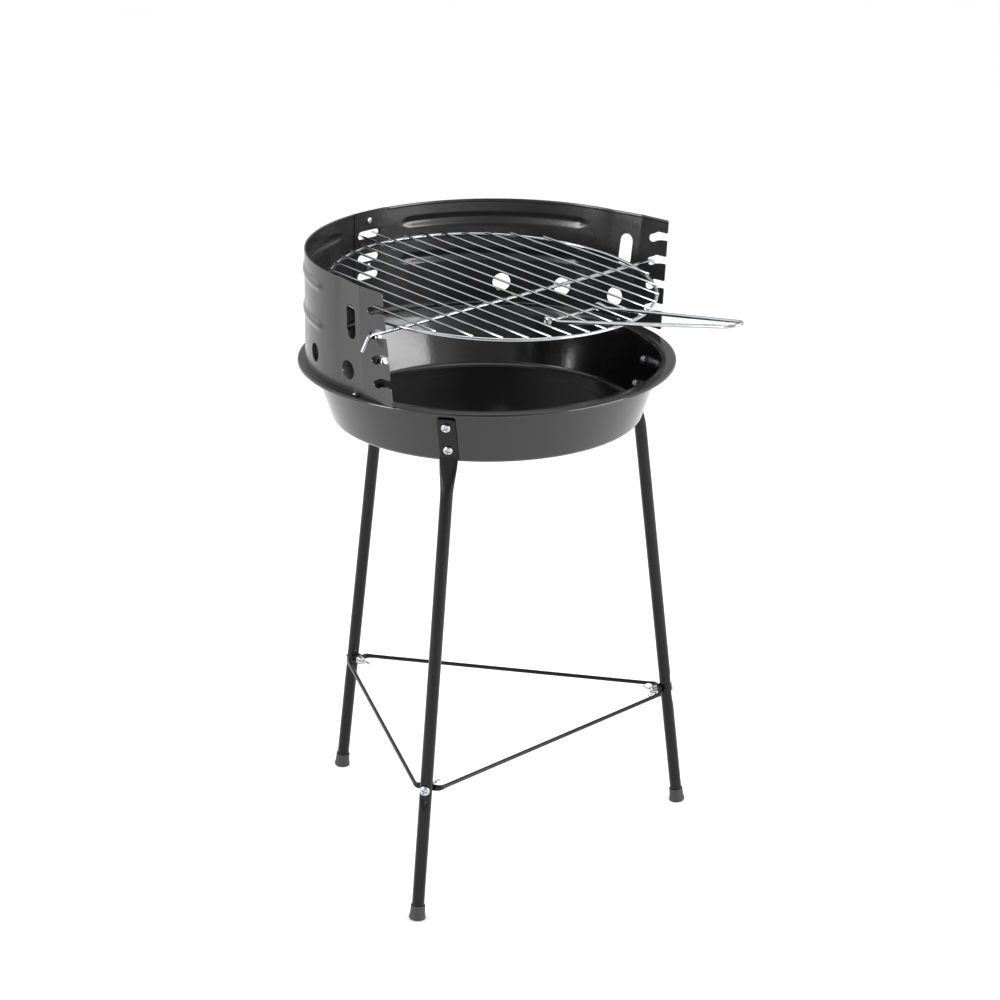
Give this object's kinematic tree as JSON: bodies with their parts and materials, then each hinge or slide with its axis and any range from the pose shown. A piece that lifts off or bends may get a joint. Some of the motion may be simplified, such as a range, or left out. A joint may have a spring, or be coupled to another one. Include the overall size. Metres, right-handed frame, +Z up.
{
  "type": "charcoal grill",
  "caption": "Round charcoal grill on tube legs with a braced base, two-piece slotted windshield and a pull-out wire cooking grid with a folding wire handle.",
  "frame": {"origin": "centre of the bounding box's bottom face, on the floor", "axes": "+Z up; -Y towards the open side of the windshield and the grid's handle; +X to the right seen from the handle"},
  "size_m": [0.3968, 0.5253, 0.605],
  "materials": {
    "bowl_enamel": "gloss",
    "shield_paint": "satin",
    "leg_paint": "semi-gloss",
    "rod_paint": "semi-gloss",
    "cap_rubber": "matte",
    "zinc": "bright zinc",
    "chrome_wire": "bright"
  },
  "bodies": {
    "stand": {"bowl": "bowl_enamel", "windshield_left": "shield_paint", "windshield_right": "shield_paint", "windshield_seam_screws": "zinc", "windshield_seam_nuts": "zinc", "windshield_foot_screws": "zinc", "windshield_foot_nuts": "zinc", "leg_front_left": "leg_paint", "leg_rear": "leg_paint", "leg_front_right": "leg_paint", "foot_cap_front_left": "cap_rubber", "foot_cap_rear": "cap_rubber", "foot_cap_front_right": "cap_rubber", "leg_screws": "zinc", "leg_nuts": "zinc", "brace_rod_front_left_front_right": "rod_paint", "brace_rod_front_right_rear": "rod_paint", "brace_rod_rear_front_left": "rod_paint", "brace_screws": "zinc"},
    "wing_nut_front_left": {"wing_nut_front_left": "zinc"},
    "wing_nut_rear": {"wing_nut_rear": "zinc"},
    "wing_nut_front_right": {"wing_nut_front_right": "zinc"},
    "grid": {"grid_ring": "chrome_wire", "grid_bars": "chrome_wire", "grid_cross_bar": "chrome_wire", "handle_pivot_wire": "chrome_wire"},
    "handle": {"grid_handle": "chrome_wire"}
  },
  "joints": [
    {"name": "grid_pull_out", "type": "slide", "parent": "stand", "child": "grid", "axis": [0, -0.9701, 0.2425], "range_m": [0, 0.2]},
    {"name": "handle_fold", "type": "hinge", "parent": "grid", "child": "handle", "pos_m": [0, -0.06033, 0.56173], "axis": [-1, 0, 0], "range_deg": [0, 150]},
    {"name": "wing_nut_front_left_turn", "type": "hinge", "parent": "stand", "child": "wing_nut_front_left", "pos_m": [-0.16172, -0.03714, 0.12837], "axis": [0.8283, 0.548, -0.1169], "continuous": true},
    {"name": "wing_nut_rear_turn", "type": "hinge", "parent": "stand", "child": "wing_nut_rear", "pos_m": [-0.01492, 0.22989, 0.12836], "axis": [-0.0041, -0.993, -0.1177], "continuous": true},
    {"name": "wing_nut_front_right_turn", "type": "hinge", "parent": "stand", "child": "wing_nut_front_right", "pos_m": [0.15547, -0.03416, 0.12834], "axis": [-0.8774, 0.4647, -0.1191], "continuous": true}
  ]
}
